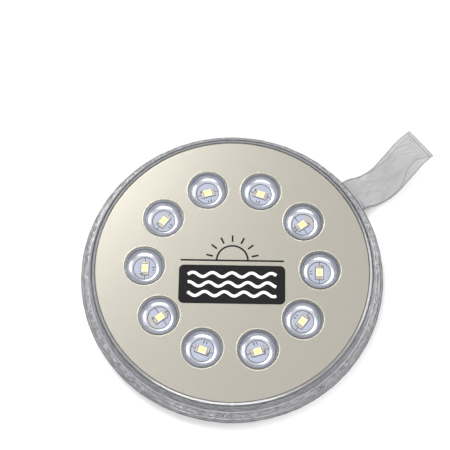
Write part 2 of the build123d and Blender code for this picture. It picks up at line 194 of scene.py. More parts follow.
def waves(seed, count, low, high):
    """A smooth periodic noise with low to high waves a turn: a function of (angle, shift)."""
    rng = np.random.default_rng(seed)
    k = rng.integers(low, high, count)
    amp = rng.uniform(0.4, 1.0, count)
    phase = rng.uniform(0, 2 * math.pi, count)
    drift = rng.uniform(-2.5, 2.5, count)
    total = np.sqrt((amp ** 2).sum() / 2)

    def value(angle, shift=0.0):
        out = 0.0
        for i in range(count):
            out = out + amp[i] * np.sin(k[i] * angle + phase[i] + drift[i] * shift)
        return out / total
    return value


def ring_grid(rings, closed_profile=True):
    """Verts and faces of a grid of rings, each (segments, 3). The last ring can join the first."""
    segments = len(rings[0])
    count = len(rings)
    verts = np.concatenate(rings)
    faces = []
    last = count if closed_profile else count - 1
    for j in range(last):
        a, b = j * segments, ((j + 1) % count) * segments
        for i in range(segments):
            n = (i + 1) % segments
            faces.append((a + i, a + n, b + n, b + i))
    return verts, faces


def revolved(name, profile, mats, body, segments=360, wobble=None, slots=None, closed=True):
    """A closed ring turned from profile points (r, z). wobble(angle, j) gives (dr, dz) at point j.
    With closed=False the profile's ends are joined on the axis by fans."""
    angle = np.linspace(0, 2 * math.pi, segments, endpoint=False)
    rings = []
    for j, (r, z) in enumerate(profile):
        dr, dz = wobble(angle, j) if wobble else (0.0, 0.0)
        rr = r + dr
        rings.append(np.stack([rr * np.cos(angle), rr * np.sin(angle), z + dz + 0 * angle], 1))
    verts, faces = ring_grid(rings, closed)
    face_slots = None
    if slots:
        face_slots = []
        for j in range(len(profile) if closed else len(profile) - 1):
            face_slots += [slots[j]] * segments
    if not closed:
        ends = [(0, 0, profile[0][1]), (0, 0, profile[-1][1])]
        first, final = len(verts), len(verts) + 1
        verts = np.concatenate([verts, np.array(ends)])
        top = (len(profile) - 1) * segments
        for i in range(segments):
            n = (i + 1) % segments
            faces.append((first, n, i))
            faces.append((final, top + i, top + n))
            if face_slots is not None:
                face_slots += [slots[0], slots[0]]
    return make_object(name, verts, faces, mats, body, face_slots)


def plate_shape(points, low, high):
    """A flat extruded polygon: verts and faces between two heights."""
    n = len(points)
    verts = [(x, y, low) for x, y in points] + [(x, y, high) for x, y in points]
    faces = [tuple(range(n))[::-1], tuple(range(n, 2 * n))]
    faces += [(i, (i + 1) % n, n + (i + 1) % n, n + i) for i in range(n)]
    return verts, faces


def ribbon_shape(path, width, low, high, closed=False):
    """A flat strip of constant width along a path of (x, y) points, as a chain of quads."""
    path = [np.array(p, float) for p in path]
    n = len(path)
    left, right = [], []
    for i in range(n):
        a = path[(i - 1) % n] if closed or i else path[i]
        b = path[(i + 1) % n] if closed or i < n - 1 else path[i]
        d = b - a
        d /= np.linalg.norm(d)
        side = np.array([-d[1], d[0]]) * width / 2
        left.append(path[i] + side)
        right.append(path[i] - side)
    verts = []
    for z in (low, high):
        verts += [(*p, z) for p in left] + [(*p, z) for p in right]
    faces = []
    for i in range(n if closed else n - 1):
        k = (i + 1) % n
        faces.append((2 * n + i, 3 * n + i, 3 * n + k, 2 * n + k))
        faces.append((i, k, n + k, n + i))
        faces.append((i, 2 * n + i, 2 * n + k, k))
        faces.append((n + i, n + k, 3 * n + k, 3 * n + i))
    if not closed:
        faces.append((0, n, 3 * n, 2 * n))
        faces.append((n - 1, 3 * n - 1, 4 * n - 1, 2 * n - 1)[::-1])
    return verts, faces


def joined(name, shapes, mats, body, turn=0.0, shift=(0, 0), smooth=False):
    """One object from several (verts, faces) shapes, turned about Z and moved."""
    verts, faces = [], []
    c, s = math.cos(turn), math.sin(turn)
    for v, f in shapes:
        offset = len(verts)
        verts += [(x * c - y * s + shift[0], x * s + y * c + shift[1], z) for x, y, z in v]
        faces += [tuple(offset + k for k in face) for face in f]
    return make_object(name, verts, faces, mats, body, smooth=smooth)


def rounded(width, height, radius, steps=8, centre=(0, 0)):
    """The outline of a rectangle with round corners."""
    points = []
    corners = ((1, 1, 0), (-1, 1, 90), (-1, -1, 180), (1, -1, 270))
    for sx, sy, start in corners:
        for i in range(steps + 1):
            turn = math.radians(start + 90 * i / steps)
            points.append((centre[0] + sx * (width / 2 - radius) + radius * math.cos(turn),
                           centre[1] + sy * (height / 2 - radius) + radius * math.sin(turn)))
    return points


def disc(radius, low, high, steps=48):
    """A round plate about the origin."""
    turns = [2 * math.pi * i / steps for i in range(steps)]
    return plate_shape([(radius * math.cos(a), radius * math.sin(a)) for a in turns], low, high)


def turned_rings(section, centre=(0, 0), segments=96):
    """A closed ring of section points (r, z) about a centre, as a (verts, faces) shape."""
    turns = np.linspace(0, 2 * math.pi, segments, endpoint=False)
    rings = [np.stack([centre[0] + r * np.cos(turns), centre[1] + r * np.sin(turns), z + 0 * turns], 1)
             for r, z in section]
    verts, faces = ring_grid(rings)
    return [tuple(v) for v in verts], faces


def between(a, b, t):
    """The point at a share t of the way from a to b."""
    return a[0] + (b[0] - a[0]) * t, a[1] + (b[1] - a[1]) * t


# ------------------------------------------------------------------ materials of the part
champagne = surface("champagne satin", (0.447, 0.425, 0.369), 0.29, metal=0.85, vary=0.02,
                    grain=1100, bump=0.03, depth=0.00001, rough_vary=0.012)
silver_cup = surface("silvered bowl", (0.60, 0.615, 0.68), 0.32, metal=1.0, vary=0.05, grain=130,
                     bump=0.1, depth=0.0001, rough_vary=0.04)
# painted shade: the bowls darken towards their mouths, standing in for the dark reflection there
paint_shade_above(silver_cup, 0.0100, 0.0118, 0.75)
board_mat = surface("board solder mask", (0.36, 0.385, 0.47), 0.4, vary=0.04, grain=1500, bump=0.1)
orange = surface("orange face", (0.62, 0.115, 0.022), 0.38, vary=0.04, grain=1400, bump=0.12,
                 coat=0.3)
shell_grey = surface("grey casing", (0.27, 0.27, 0.28), 0.4, vary=0.05, grain=1200, bump=0.15)
cell_mat = surface("dark blue cell", (0.010, 0.013, 0.032), 0.22, vary=0.15, grain=90, bump=0.0,
                   coat=0.6, stretch=(1, 14, 1), rough_vary=0.05)
base_board = surface("panel board", (0.46, 0.50, 0.56), 0.4, vary=0.05, grain=1000, bump=0.1)
ribbon_mat = surface("tinned ribbon", (0.62, 0.55, 0.43), 0.35, metal=0.6, vary=0.12, grain=1200,
                     bump=0.3)
glazing = surface("clear cover", (0.3, 0.32, 0.36), 0.08, vary=0.03, grain=300, bump=0.05,
                  alpha=0.03, ior=1.9, rough_vary=0.03)
button_mat = surface("grey button", (0.36, 0.36, 0.345), 0.38, vary=0.04, grain=1500, bump=0.15,
                     metal=0.2)
vinyl = surface("clear vinyl", (0.66, 0.67, 0.69), 0.12, vary=0.1, grain=260, bump=0.6, alpha=0.1,
                ior=2.4, depth=0.0002, rough_vary=0.06)
film_flat = surface("clear film", (0.3, 0.3, 0.3), 0.14, vary=0.04, grain=120, bump=0.2,
                    alpha=0.012, ior=1.7, depth=0.0001, rough_vary=0.06)
film_rim = surface("film at the rim", (0.32, 0.325, 0.345), 0.13, vary=0.3, grain=420, bump=0.5,
                   alpha=0.35, ior=1.9, depth=0.0002, rough_vary=0.06)
# painted highlight and shade: the strong mottle of this film's colour stands in for the light and dark
# streaks on its crinkles
film_fold = surface("crinkled film", (0.41, 0.415, 0.435), 0.12, vary=0.6, grain=620, bump=0.9,
                    alpha=0.34, ior=1.9, depth=0.0003, rough_vary=0.06)
seam_mat = surface("welded film", (0.20, 0.205, 0.225), 0.14, vary=0.25, grain=380, bump=0.4,
                   alpha=0.55, ior=1.9, depth=0.0002, rough_vary=0.06)
strap_mat = surface("strap film", (0.385, 0.385, 0.39), 0.3, vary=0.08, grain=240, bump=0.22,
                    alpha=0.84, ior=1.4, depth=0.0003, rough_vary=0.08, stretch=(0.6, 1.6, 1))
strap_weld = surface("strap weld", (0.42, 0.42, 0.43), 0.2, vary=0.08, grain=300, bump=0.3,
                     alpha=0.75, ior=1.5, depth=0.0002)
# painted highlight: the hem bead is coloured far lighter than the seam film so it shows as a bright ring;
# its high IOR also catches the lamps' own highlight
bead_highlight_mat = surface("hem bead", (0.62, 0.62, 0.66), 0.16, vary=0.15, grain=380, bump=0.3, alpha=0.85,
                   ior=3.0, depth=0.0002, rough_vary=0.05)
line_mat = surface("pressed line", (0.20, 0.20, 0.23), 0.3, vary=0.2, grain=380, bump=0.3,
                   alpha=0.7, ior=1.6)
shoulder_mat = surface("film shoulder", (0.28, 0.28, 0.295), 0.24, vary=0.15, grain=380, bump=0.1,
                       alpha=0.72, ior=2.4, depth=0.0002, rough_vary=0.04)
flange_mat = surface("flange film", (0.43, 0.435, 0.455), 0.14, vary=0.3, grain=520, bump=0.6,
                     alpha=0.62, ior=1.9, depth=0.0002, rough_vary=0.06)
edge_mat = surface("cut edge", (0.09, 0.088, 0.09), 0.3, vary=0.3, grain=600, bump=0.2, alpha=0.8)
# painted shade and highlight: a dark copy of the seam film for the ridges' valleys and a light one for their
# crests
valley_shade_mat = surface("seam valley painted shade", (0.06, 0.063, 0.075), 0.3, vary=0.2, grain=500, bump=0.2,
                     alpha=0.75, ior=1.3)
crest_highlight_mat = surface("seam crest painted highlight", (0.36, 0.365, 0.39), 0.14, vary=0.2, grain=500, bump=0.3,
                    alpha=0.7, ior=2.2)
print_black = surface("black print", (0.004, 0.004, 0.005), 0.6, vary=0.2, grain=2500, bump=0.1,
                      ior=1.2)
print_white = surface("white print", (0.85, 0.85, 0.84), 0.5, vary=0.03, grain=2500, bump=0.1)
print_pale = surface("pale print", (0.80, 0.58, 0.48), 0.5, vary=0.06, grain=2500, bump=0.1)
# painted highlight: the hole lips are coloured lighter than the plate so their raised edge reads bright
lip_highlight_mat = surface("raised lip", (0.56, 0.535, 0.46), 0.3, metal=0.6, vary=0.04, grain=900, bump=0.1)
# dark marks: printed traces and contact gaps, and painted shade round the LEDs and the cups' feet
dark_marks_and_shade = surface("dark marks and painted shade", (0.06, 0.06, 0.08), 0.5, vary=0.2, grain=2500, bump=0.1)
led_mat = surface("LED package", (0.72, 0.69, 0.60), 0.4, vary=0.06, grain=1800, bump=0.15)
led_metal = surface("LED lead", (0.46, 0.40, 0.31), 0.35, metal=0.6, vary=0.2, grain=1500, bump=0.2)
phosphor_mat = surface("phosphor", (0.78, 0.80, 0.25), 0.4, vary=0.05, grain=1500, bump=0.15,
                       coat=0.4)
pale_strip = surface("pale strip", (0.40, 0.40, 0.41), 0.55, vary=0.05, grain=1500, bump=0.2)
black_plastic = surface("black plastic", (0.02, 0.02, 0.02), 0.45, vary=0.2, grain=1500, bump=0.2)
foil = surface("pouch foil", (0.62, 0.64, 0.66), 0.3, metal=0.8, vary=0.06, grain=300, bump=0.4,
               depth=0.0002)
foam = surface("foam", (0.80, 0.80, 0.76), 0.85, vary=0.06, grain=1500, bump=0.5)
green = surface("green board", (0.03, 0.20, 0.07), 0.4, vary=0.1, grain=900, bump=0.15)
ivory = surface("ivory nylon", (0.80, 0.76, 0.64), 0.45, vary=0.04, grain=1200, bump=0.1)
red_lead = surface("red lead", (0.50, 0.02, 0.02), 0.4, vary=0.06, grain=1500, bump=0.1)
black_lead = surface("black lead", (0.02, 0.02, 0.02), 0.4, vary=0.1, grain=1500, bump=0.1)
zinc = surface("zinc screw", (0.62, 0.62, 0.63), 0.3, metal=1.0, vary=0.06, grain=1200, bump=0.2)
ferrite = surface("ferrite", (0.07, 0.07, 0.075), 0.6, vary=0.15, grain=1500, bump=0.3)
tinned = surface("tinned ceramic", (0.45, 0.42, 0.38), 0.4, metal=0.4, vary=0.1, grain=1500,
                 bump=0.2)

cad_looks = {
    "base_film": film_flat, "lower_seam": seam_mat, "side_wall": film_fold, "top_film": film_flat,
    "upper_seam": seam_mat, "valve_body": vinyl, "valve_flap": vinyl, "valve_plug": vinyl,
    "strap_root": strap_weld, "strap_upper_ply": strap_mat, "strap_lower_ply": strap_mat,
    "back_shell": shell_grey, "solar_face_sheet": orange, "reflector_plate": champagne,
    "solar_panel_base": base_board, "solar_cells_row_1": cell_mat, "solar_cells_row_2": cell_mat,
    "cell_ribbons": ribbon_mat, "panel_glazing": glazing, "button": button_mat,
    "switch_plunger": black_plastic, "tact_switch": black_plastic, "battery_pad": foam,
    "battery_cell": foil, "battery_guard_board": green, "battery_plug": ivory,
    "battery_socket": ivory, "battery_lead_red": red_lead, "battery_lead_black": black_lead,
    "panel_lead_red": red_lead, "panel_lead_black": black_lead, "led_board": board_mat,
    "board_screws": zinc, "driver_chip": black_plastic, "charge_inductor": ferrite,
    "small_parts": tinned, "led_phosphors": phosphor_mat,
}
for number in range(1, cup_count + 1):
    cad_looks[f"reflector_cup_{number:02d}"] = silver_cup
    cad_looks[f"led_{number:02d}"] = led_mat
for name, look in cad_looks.items():
    node[name].data.materials.clear()
    node[name].data.materials.append(look)


# ------------------------------------------------------------------ film drum
def top_film():
    """The LED-side film: flat on the plate, over its edge and down the skirt."""
    over = film_high.z
    flat = (2, 8, 16, 24, 30, 36, 42, 47, 51, 54, 56.3, 57.2, 57.6, 57.84)
    shoulder = ((57.92, 0.01), (58.02, 0.05), (58.78, 0.44), (58.88, 0.52))  # radius, drop
    bend_r, inner_bend_r, skirt_r = 57.9, 57.85, 58.9
    crease_rise, crease_width, crease_grow_r = 0.035, 9.0, 20.0
    skirt_wobble = 0.07
    outer = [(r, over) for r in flat] + [(r, over - drop) for r, drop in shoulder]
    rim_from = len(outer) - 2
    foot = (film_high.x, film_low.z)
    start = outer[-1]
    outer += [between(start, foot, t) for t in (0.2, 0.4, 0.6, 0.8, 1.0)]
    inner = []
    for r, z in outer[::-1]:
        if r < bend_r:
            inner.append((r, z - film_t))
        else:
            inner.append((max(r - film_t, inner_bend_r), min(z - 0.5 * film_t, over - film_t)))
    profile = outer + inner
    crease = waves(3, 9, 2, 15)
    fine = waves(4, 14, 30, 110)

    def wobble(angle, j):
        r = profile[j][0]
        rise = crease_rise * crease(angle, r / crease_width) * min(1.0, r / crease_grow_r)
        return skirt_wobble * fine(angle, j * 0.8) if r > skirt_r else 0.0, np.abs(rise)
    slots = [1 if rim_from <= j < len(profile) - rim_from else 0 for j in range(len(profile))]
    for j in range(rim_from - 2, rim_from + 1):
        slots[j] = 2
    obj = revolved("top_film_sheet", profile, [film_flat, film_rim, shoulder_mat], "top_cap",
                   wobble=wobble, slots=slots, closed=False)
    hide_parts("top_film")


def upper_seam():
    """The ridged hem round the top film's skirt, ending in a rolled bead."""
    top = (59.28, film_high.z - 0.45)
    foot = (film_high.x + 0.05, seam_low.z + 0.25)
    steps, ridges, ridge_start = 64, 4, 0.6
    stand_off, ridge_rise = 0.30, 0.2
    valley_below, crest_above = 0.05, 0.35
    bead_out, bead_half_w, bead_half_h, bead_points = 0.25, 0.28, 0.26, 9
    # the valleys take the painted-shade film, the crests the painted-highlight film
    plain, hem_bead, valley, crest = range(4)
    outer, band = [], []
    for i in range(steps + 1):
        t = i / steps
        rise = max(0.0, math.sin(t * ridges * 2 * math.pi - ridge_start))
        band.append(valley if rise < valley_below else crest if rise > crest_above else plain)
        r, z = between(top, foot, t)
        outer.append((r + stand_off + ridge_rise * rise ** 2, z))
    bead = [(foot[0] + bead_out + bead_half_w * math.cos(a), foot[1] - 0.02 + bead_half_h * math.sin(a))
            for a in np.linspace(0.6, -2.4, bead_points)]
    inner = [(r + 0.04, z) for r, z in (between(top, foot, t) for t in (0.96, 0.5, 0.0))]
    profile = outer + bead + inner
    slots = [hem_bead if steps <= j < steps + bead_points else band[j] if j < steps else plain
             for j in range(len(profile))]
    slow = waves(11, 6, 2, 9)
    fine = waves(12, 12, 24, 90)

    def wobble(angle, j):
        return 0.03 * slow(angle) + 0.035 * fine(angle, j * 0.15), 0.04 * slow(angle, 1.0)
    obj = revolved("upper_seam_band", profile, [seam_mat, bead_highlight_mat, valley_shade_mat, crest_highlight_mat], "top_cap",
                   segments=480, wobble=wobble, slots=slots)
    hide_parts("upper_seam")


def side_wall():
    """The folded wall, crinkled all round, as it lies before the drum blows up to its full height."""
    low, high = wall_low.z, wall_high.z
    foot_r, head_r, out_r = flange_in + 0.05, skirt_foot_r + 0.32, wall_high.x - film_t
    pleats, steps = 3, 36
    crumple_rise, crackle_rise, slow_rise, streak_rise = 0.17, 0.09, 0.08, 0.11
    deepest, highest = -0.8, 0.4
    centre = []
    for i in range(steps + 1):
        t = i / steps
        fold = 0.5 - 0.5 * math.cos(2 * math.pi * pleats * t)
        base = foot_r + (head_r - foot_r) * t
        centre.append((base + (out_r - 0.5 * t - base) * fold ** 0.8, low + (high - low) * t))
    half = film_t / 2
    profile = [(r + half, z) for r, z in centre] + [(r - half, z) for r, z in centre[::-1]]
    crumple = waves(21, 16, 14, 60)
    crackle = waves(22, 22, 60, 170)
    slow = waves(23, 6, 3, 12)

    def wobble(angle, j):
        row = j if j <= steps else 2 * steps + 1 - j
        t = row / steps
        free = math.sin(math.pi * t) ** 0.5 if 0 < t < 1 else 0.0
        shift = t * 7
        streak = streak_rise * np.sin(2.3 * row + 2.2 * slow(angle, 2 * t))
        dr = free * (crumple_rise * crumple(angle, shift) + crackle_rise * crackle(angle, shift * 2)
                     + slow_rise * slow(angle, t) + streak)
        return np.clip(dr, deepest, highest), 0.0
    obj = revolved("side_wall_film", profile, film_fold, None, segments=720, wobble=wobble)
    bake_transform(obj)
    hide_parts("side_wall")


def lower_seam():
    """The weld ring on the lower flange: ridges, a pressed line and an uneven cut edge."""
    low = flange_z
    start, line = flange_in + 0.25, bag_r - 1.2
    steps, thick = 45, 0.27
    ridge_rise, ridges = 0.13, 4.2
    groove_depth, groove_w = 0.16, 0.22
    line_half_w, edge_w = 0.12, 0.5
    flange, pressed, cut = range(3)
    profile = [(start - 0.25, low), (start - 0.25, low + 0.28)]
    for i in range(steps + 1):
        t = i / steps
        r = start + (bag_r - 0.25 - start) * t
        ridge = ridge_rise * max(0.0, math.sin((t * ridges + 0.1) * math.pi)) ** 2
        groove = groove_depth * math.exp(-((r - line) / groove_w) ** 2)
        profile.append((r, low + thick + ridge - groove))
    profile += [(bag_r - 0.08, low + 0.2), (bag_r - 0.04, low + 0.08), (bag_r - 0.1, low)]
    ragged = waves(31, 14, 6, 70)
    crackle = waves(32, 16, 50, 150)

    def wobble(angle, j):
        r = profile[j][0]
        edge = max(0.0, (r - line + 0.3) / 1.5)
        on_top = 1 if 2 <= j < steps + 3 else 0
        return -0.05 * edge + 0.05 * edge * np.clip(ragged(angle), -2, 1), \
            0.04 * crackle(angle, j * 0.3) * on_top

    def band_slot(r, z):
        if r > bag_r - edge_w:
            return cut
        return pressed if abs(r - line) < line_half_w and z > low + 0.05 else flange
    obj = revolved("lower_seam_band", profile, [flange_mat, line_mat, edge_mat], "module",
                   segments=540, wobble=wobble, slots=[band_slot(*point) for point in profile])
    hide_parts("lower_seam")


top_film()
upper_seam()
side_wall()
lower_seam()


# ------------------------------------------------------------------ strap
STRAP_ROOT_Z = 3.35
STRAP_HALF_W = 7.72
STRAP_PATH = ((0, 0, 0), (6.5, -1.4, -1.5), (13, 0.3, -2.2), (21, 5.0, -1.2), (28, 7.6, 0.2),
              (35, 8.6, 0.8))  # out, up and aside, from just past the fold
EDGE_W, LINE_HALF_W, BORDER_W = 0.28, 0.14, 0.62


def ease(u, low, high):
    """A smooth step from 0 at low to 1 at high."""
    t = min(1.0, max(0.0, (u - low) / (high - low)))
    return t * t * (3 - 2 * t)


def strap_columns(u, middle):
    """Places across the strap at the share u of its length, and the widths of its two borders.
    The places are cut edge, border, pressed line, middle, pressed line, border, cut edge."""
    left = BORDER_W + 3.1 * ease(u, 0.5, 0.74) - 3.0 * ease(u, 0.8, 0.99)
    right = BORDER_W + 1.5 * ease(u, 0.4, 0.66)
    places = [-STRAP_HALF_W, -STRAP_HALF_W + EDGE_W, -STRAP_HALF_W + left - LINE_HALF_W,
              -STRAP_HALF_W + left + LINE_HALF_W]
    places += list(np.linspace(places[-1], STRAP_HALF_W - right - LINE_HALF_W, middle + 1)[1:])
    places += [STRAP_HALF_W - right + LINE_HALF_W, STRAP_HALF_W - EDGE_W, STRAP_HALF_W]
    return places, left, right


def strap():
    """Two plies of film, wrinkled between their welded borders, from the flange to the free end."""
    start_x = (root_low.x + root_high.x) / 2 + 0.2
    fold = bag_r + 0.8
    first = fold + 0.8
    points = [(root_low.x + 0.1, 0, STRAP_ROOT_Z), (start_x, 0, STRAP_ROOT_Z), (fold, 0, STRAP_ROOT_Z)]
    points += [(first + out, aside, STRAP_ROOT_Z + up) for out, up, aside in STRAP_PATH]
    rows = np.concatenate([np.linspace(0, 0.955, 104), [0.960, 0.968, 0.9935, 1.0]])
    line = smooth_path(points, rows)
    length = len(line)
    middle = 34
    across = middle + 6
    ply, most_puff, puff_w, wrinkle_rise = 0.3, 0.35, 1.2, 0.06
    end_weld, end_scale = 0.964, 42
    most_twist = math.radians(7)
    pucker = waves(41, 10, 3, 17)
    tangent = np.gradient(line, axis=0)
    tangent /= np.linalg.norm(tangent, axis=1)[:, None]
    verts = []
    for side in (1, -1):
        for i in range(length):
            u = rows[i]
            t = tangent[i]
            y_dir = np.array([0.0, 1.0, 0.0]) - t * t[1]
            y_dir /= np.linalg.norm(y_dir)
            up = np.cross(t, y_dir)
            twist = most_twist * math.sin(math.pi * min(1, max(0, (u - 0.25) / 0.7)))
            y_turn = y_dir * math.cos(twist) + up * math.sin(twist)
            z_turn = -y_dir * math.sin(twist) + up * math.cos(twist)
            places, left, right = strap_columns(u, middle)
            free = min(1.0, max(0.0, (u - 0.1) / 0.1))
            for place in places:
                inset = min(place + STRAP_HALF_W - left, STRAP_HALF_W - place - right,
                            (end_weld - u) * end_scale)
                puff = most_puff * (1 - math.exp(-inset / puff_w)) if inset > 0 else 0.0
                wrinkle = wrinkle_rise * float(pucker(np.array(place / STRAP_HALF_W * 1.6 + 5.1 * u),
                                                      u * 9))
                wrinkle *= free * (1 if inset > 0 else 0.3)
                verts.append(line[i] + y_turn * place
                             + z_turn * (side * (ply + puff * free) + wrinkle))
    plain, border, pressed, cut = range(4)
    stripe = [cut, border, pressed] + [plain] * middle + [pressed, border, cut]
    end_rows = {length - 2: cut, length - 3: border, length - 4: pressed}
    n = across + 1
    faces, slots = [], []
    for s in range(2):
        o = s * length * n
        for i in range(length - 1):
            at_end = end_rows.get(i, plain)
            for k in range(across):
                a = o + i * n + k
                quad = (a, a + 1, a + n + 1, a + n)
                faces.append(quad if s == 0 else quad[::-1])
                slots.append(cut if cut in (stripe[k], at_end) else at_end or stripe[k])
    o = length * n
    for i in range(length - 1):
        faces.append((i * n, i * n + n, o + i * n + n, o + i * n))
        faces.append((i * n + across, o + i * n + across, o + i * n + n + across, i * n + n + across))
        slots += [cut, cut]
    for k in range(across):
        faces.append((k, o + k, o + k + 1, k + 1))
        b = (length - 1) * n + k
        faces.append((b, b + 1, o + b + 1, o + b))
        slots += [cut, cut]
    obj = make_object("hanging_strap", verts, faces, [strap_mat, strap_weld, weld_line, strap_edge],
                      None, slots)
    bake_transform(obj)
    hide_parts("strap_root", "strap_upper_ply", "strap_lower_ply")


def smooth_path(points, fractions):
    """Points at the given shares of the length of a smooth line through the given points."""
    p = np.array(points, float)
    d = np.concatenate([[0], np.cumsum(np.linalg.norm(np.diff(p, axis=0), axis=1))])
    m = np.zeros_like(p)
    for i in range(len(p)):
        a, b = max(0, i - 1), min(len(p) - 1, i + 1)
        m[i] = (p[b] - p[a]) / (d[b] - d[a])
    out = []
    for s in np.asarray(fractions) * d[-1]:
        i = min(len(p) - 2, max(0, int(np.searchsorted(d, s) - 1)))
        h = d[i + 1] - d[i]
        t = (s - d[i]) / h
        h00, h10 = 2 * t ** 3 - 3 * t ** 2 + 1, t ** 3 - 2 * t ** 2 + t
        h01, h11 = -2 * t ** 3 + 3 * t ** 2, t ** 3 - t ** 2
        out.append(h00 * p[i] + h10 * h * m[i] + h01 * p[i + 1] + h11 * h * m[i + 1])
    return np.array(out)


weld_line = surface("strap weld line", (0.20, 0.20, 0.21), 0.25, vary=0.15, grain=300, bump=0.3,
                    alpha=0.7)
strap_edge = surface("strap cut edge", (0.16, 0.16, 0.17), 0.25, vary=0.15, grain=300, bump=0.3,
                     alpha=0.8)
strap()


# ------------------------------------------------------------------ prints
def wave_line(x0, x1, y, height, periods, phase):
    """A sine line from x0 to x1 about y."""
    steps = 60
    return [(x0 + (x1 - x0) * i / steps, y + height * math.sin(phase + 2 * math.pi * periods * i / steps))
            for i in range(steps + 1)]


def pictogram():
    """A plain sun over water: thin line art above, a black panel with pale waves below."""
    low = plate_top + 0.012
    art = low + 0.02
    line_w, horizon, half_horizon = 0.75, 3.2, 21.8
    sun_r, ray_in, ray_out, rays = 6.6, 8.4, 11.3, 7
    panel_w, panel_h, panel_corner, panel_y = 44.6, 17.0, 2.2, -7.4
    wave_half, wave_rise, wave_w, waves_across = 18.5, 0.95, 1.25, 4.5
    arc = [(sun_r * math.cos(a), horizon + sun_r * math.sin(a)) for a in np.linspace(0.0, math.pi, 40)]
    shapes = [ribbon_shape(arc, line_w, low, art)]
    for i in range(rays):
        a = math.pi * (i + 0.5) / rays
        ray = [(r * math.cos(a), horizon + r * math.sin(a)) for r in (ray_in, ray_out)]
        shapes.append(ribbon_shape(ray, line_w, low, art))
    shapes.append(ribbon_shape([(-half_horizon, horizon), (half_horizon, horizon)], line_w, low, art))
    joined("print_sun_lines", shapes, print_black, "module", turn=VIEW_TURN)
    panel = plate_shape(rounded(panel_w, panel_h, panel_corner, centre=(0, panel_y)), low, art)
    joined("print_panel", [panel], print_black, "module", turn=VIEW_TURN)
    pale = []
    for i, y in enumerate((-3.2, -7.4, -11.6)):
        path = wave_line(-wave_half, wave_half, y, wave_rise, waves_across, i * 1.2)
        pale.append(ribbon_shape(path, wave_w, art, art + 0.015))
    joined("print_panel_waves", pale, print_white, "module", turn=VIEW_TURN)


def hole_lips():
    """A thin raised lip round each hole in the plate, coloured lighter than the plate as a painted
    highlight.
    """
    section = [(r, plate_top + z) for r, z in
               ((8.66, -0.05), (8.68, 0.01), (8.8, 0.04), (8.95, 0.04), (9.08, 0.01), (9.12, -0.05))]
    shapes = []
    for i in range(cup_count):
        a = 2 * math.pi * i / cup_count
        shapes.append(turned_rings(section, (cup_ring_r * math.cos(a), cup_ring_r * math.sin(a))))
    joined("plate_hole_lips", shapes, lip_highlight_mat, "module", smooth=True)


def board_marks_and_shade():
    """Printed traces and small marks beside each LED, painted shade round each LED and each cup's foot, and
    the LEDs' own details with a patch of painted shade at one corner.
    """
    low, high = board_top + 0.004, board_top + 0.03
    top = board_top + 0.8  # the LEDs' upper face
    line_w, outline_w, foot_w, tick_w, window_w = 0.26, 0.3, 0.32, 0.36, 0.36
    outline_x, outline_y = 3.0, 1.64
    foot_r, line_end = 4.86, 4.85
    ticks = ((-0.75, 0.3, 1.0), (-0.65, -0.35, 0.9), (0.55, 0.0, 1.4))  # along, out, length
    lines, ends, gaps_and_shade, windows = [], [], [], []

    def rect(c, half_x, half_y):
        """A rectangle's corners about c, on the present LED's own axes."""
        return [tuple(c + along * x * half_x + over * y * half_y)
                for x, y in ((-1, -1), (1, -1), (1, 1), (-1, 1))]
    for i in range(cup_count):
        a = 2 * math.pi * i / cup_count
        on_flat = i in (0, cup_count // 2)
        out = np.array([math.cos(a), math.sin(a)])
        ring_way = np.array([-out[1], out[0]])
        along = out if on_flat else ring_way
        over = np.array([-along[1], along[0]])
        middle = out * cup_ring_r
        centre = out * (cup_ring_r - (0.4 if on_flat else 0.0))
        reach = 1.55 if on_flat else 2.9
        back = centre - out * (0.55 if on_flat else 0.0)
        for way in (-1, 1):
            lines.append(ribbon_shape([back + ring_way * way * reach, back + ring_way * way * line_end],
                                      line_w, low, high))
        # painted shade: a dark outline hugging the LED where it meets the board
        lines.append(ribbon_shape(rect(centre, outline_x, outline_y), outline_w, low, high, closed=True))
        # painted shade: a dark ring where the cup's foot meets the board
        foot = [middle + foot_r * np.array([math.cos(t), math.sin(t)])
                for t in np.linspace(0, 2 * math.pi, 60, endpoint=False)]
        lines.append(ribbon_shape(foot, foot_w, low, high, closed=True))
        mark = centre - out * 3.45
        for x, y, w in ticks:
            spot = mark + ring_way * x + out * y
            lines.append(ribbon_shape([spot - out * w / 2, spot + ring_way * 0.3 + out * w / 3],
                                      tick_w, low, high))
        for way in (-1, 1):
            ends.append(plate_shape(rect(centre + along * way * 2.42, 0.42, 1.36), top - 0.01, top + 0.02))
            gaps_and_shade.append(plate_shape(rect(centre + along * way * 1.9, 0.13, 1.4), top - 0.01, top + 0.015))
        # painted shade: a dark patch at one corner of the LED's far end
        corner = centre + along * 2.62 - over * 1.1
        gaps_and_shade.append(plate_shape(rect(corner, 0.26, 0.42), top - 0.01, top + 0.03))
        windows.append(ribbon_shape(rect(centre, 1.25, 1.18), window_w, top - 0.01, top + 0.02, closed=True))
    joined("board_marks_and_shade", lines, dark_marks_and_shade, "module")
    joined("led_end_contacts", ends, led_metal, "module")
    joined("led_contact_gaps_and_shade", gaps_and_shade, dark_marks_and_shade, "module")
    joined("led_window_rims", windows, led_mat, "module")
    width, length, corner_r = 4.0, 10.4, 0.3
    strips = []
    for way in (-1, 1):
        x = way * (board_flat + width / 2 + 0.05)
        outline = rounded(width, length, corner_r, 3, (x, 0))
        strips.append(plate_shape(outline, board_top - 0.16, board_top - 0.05))
    joined("edge_strips", strips, pale_strip, "module")


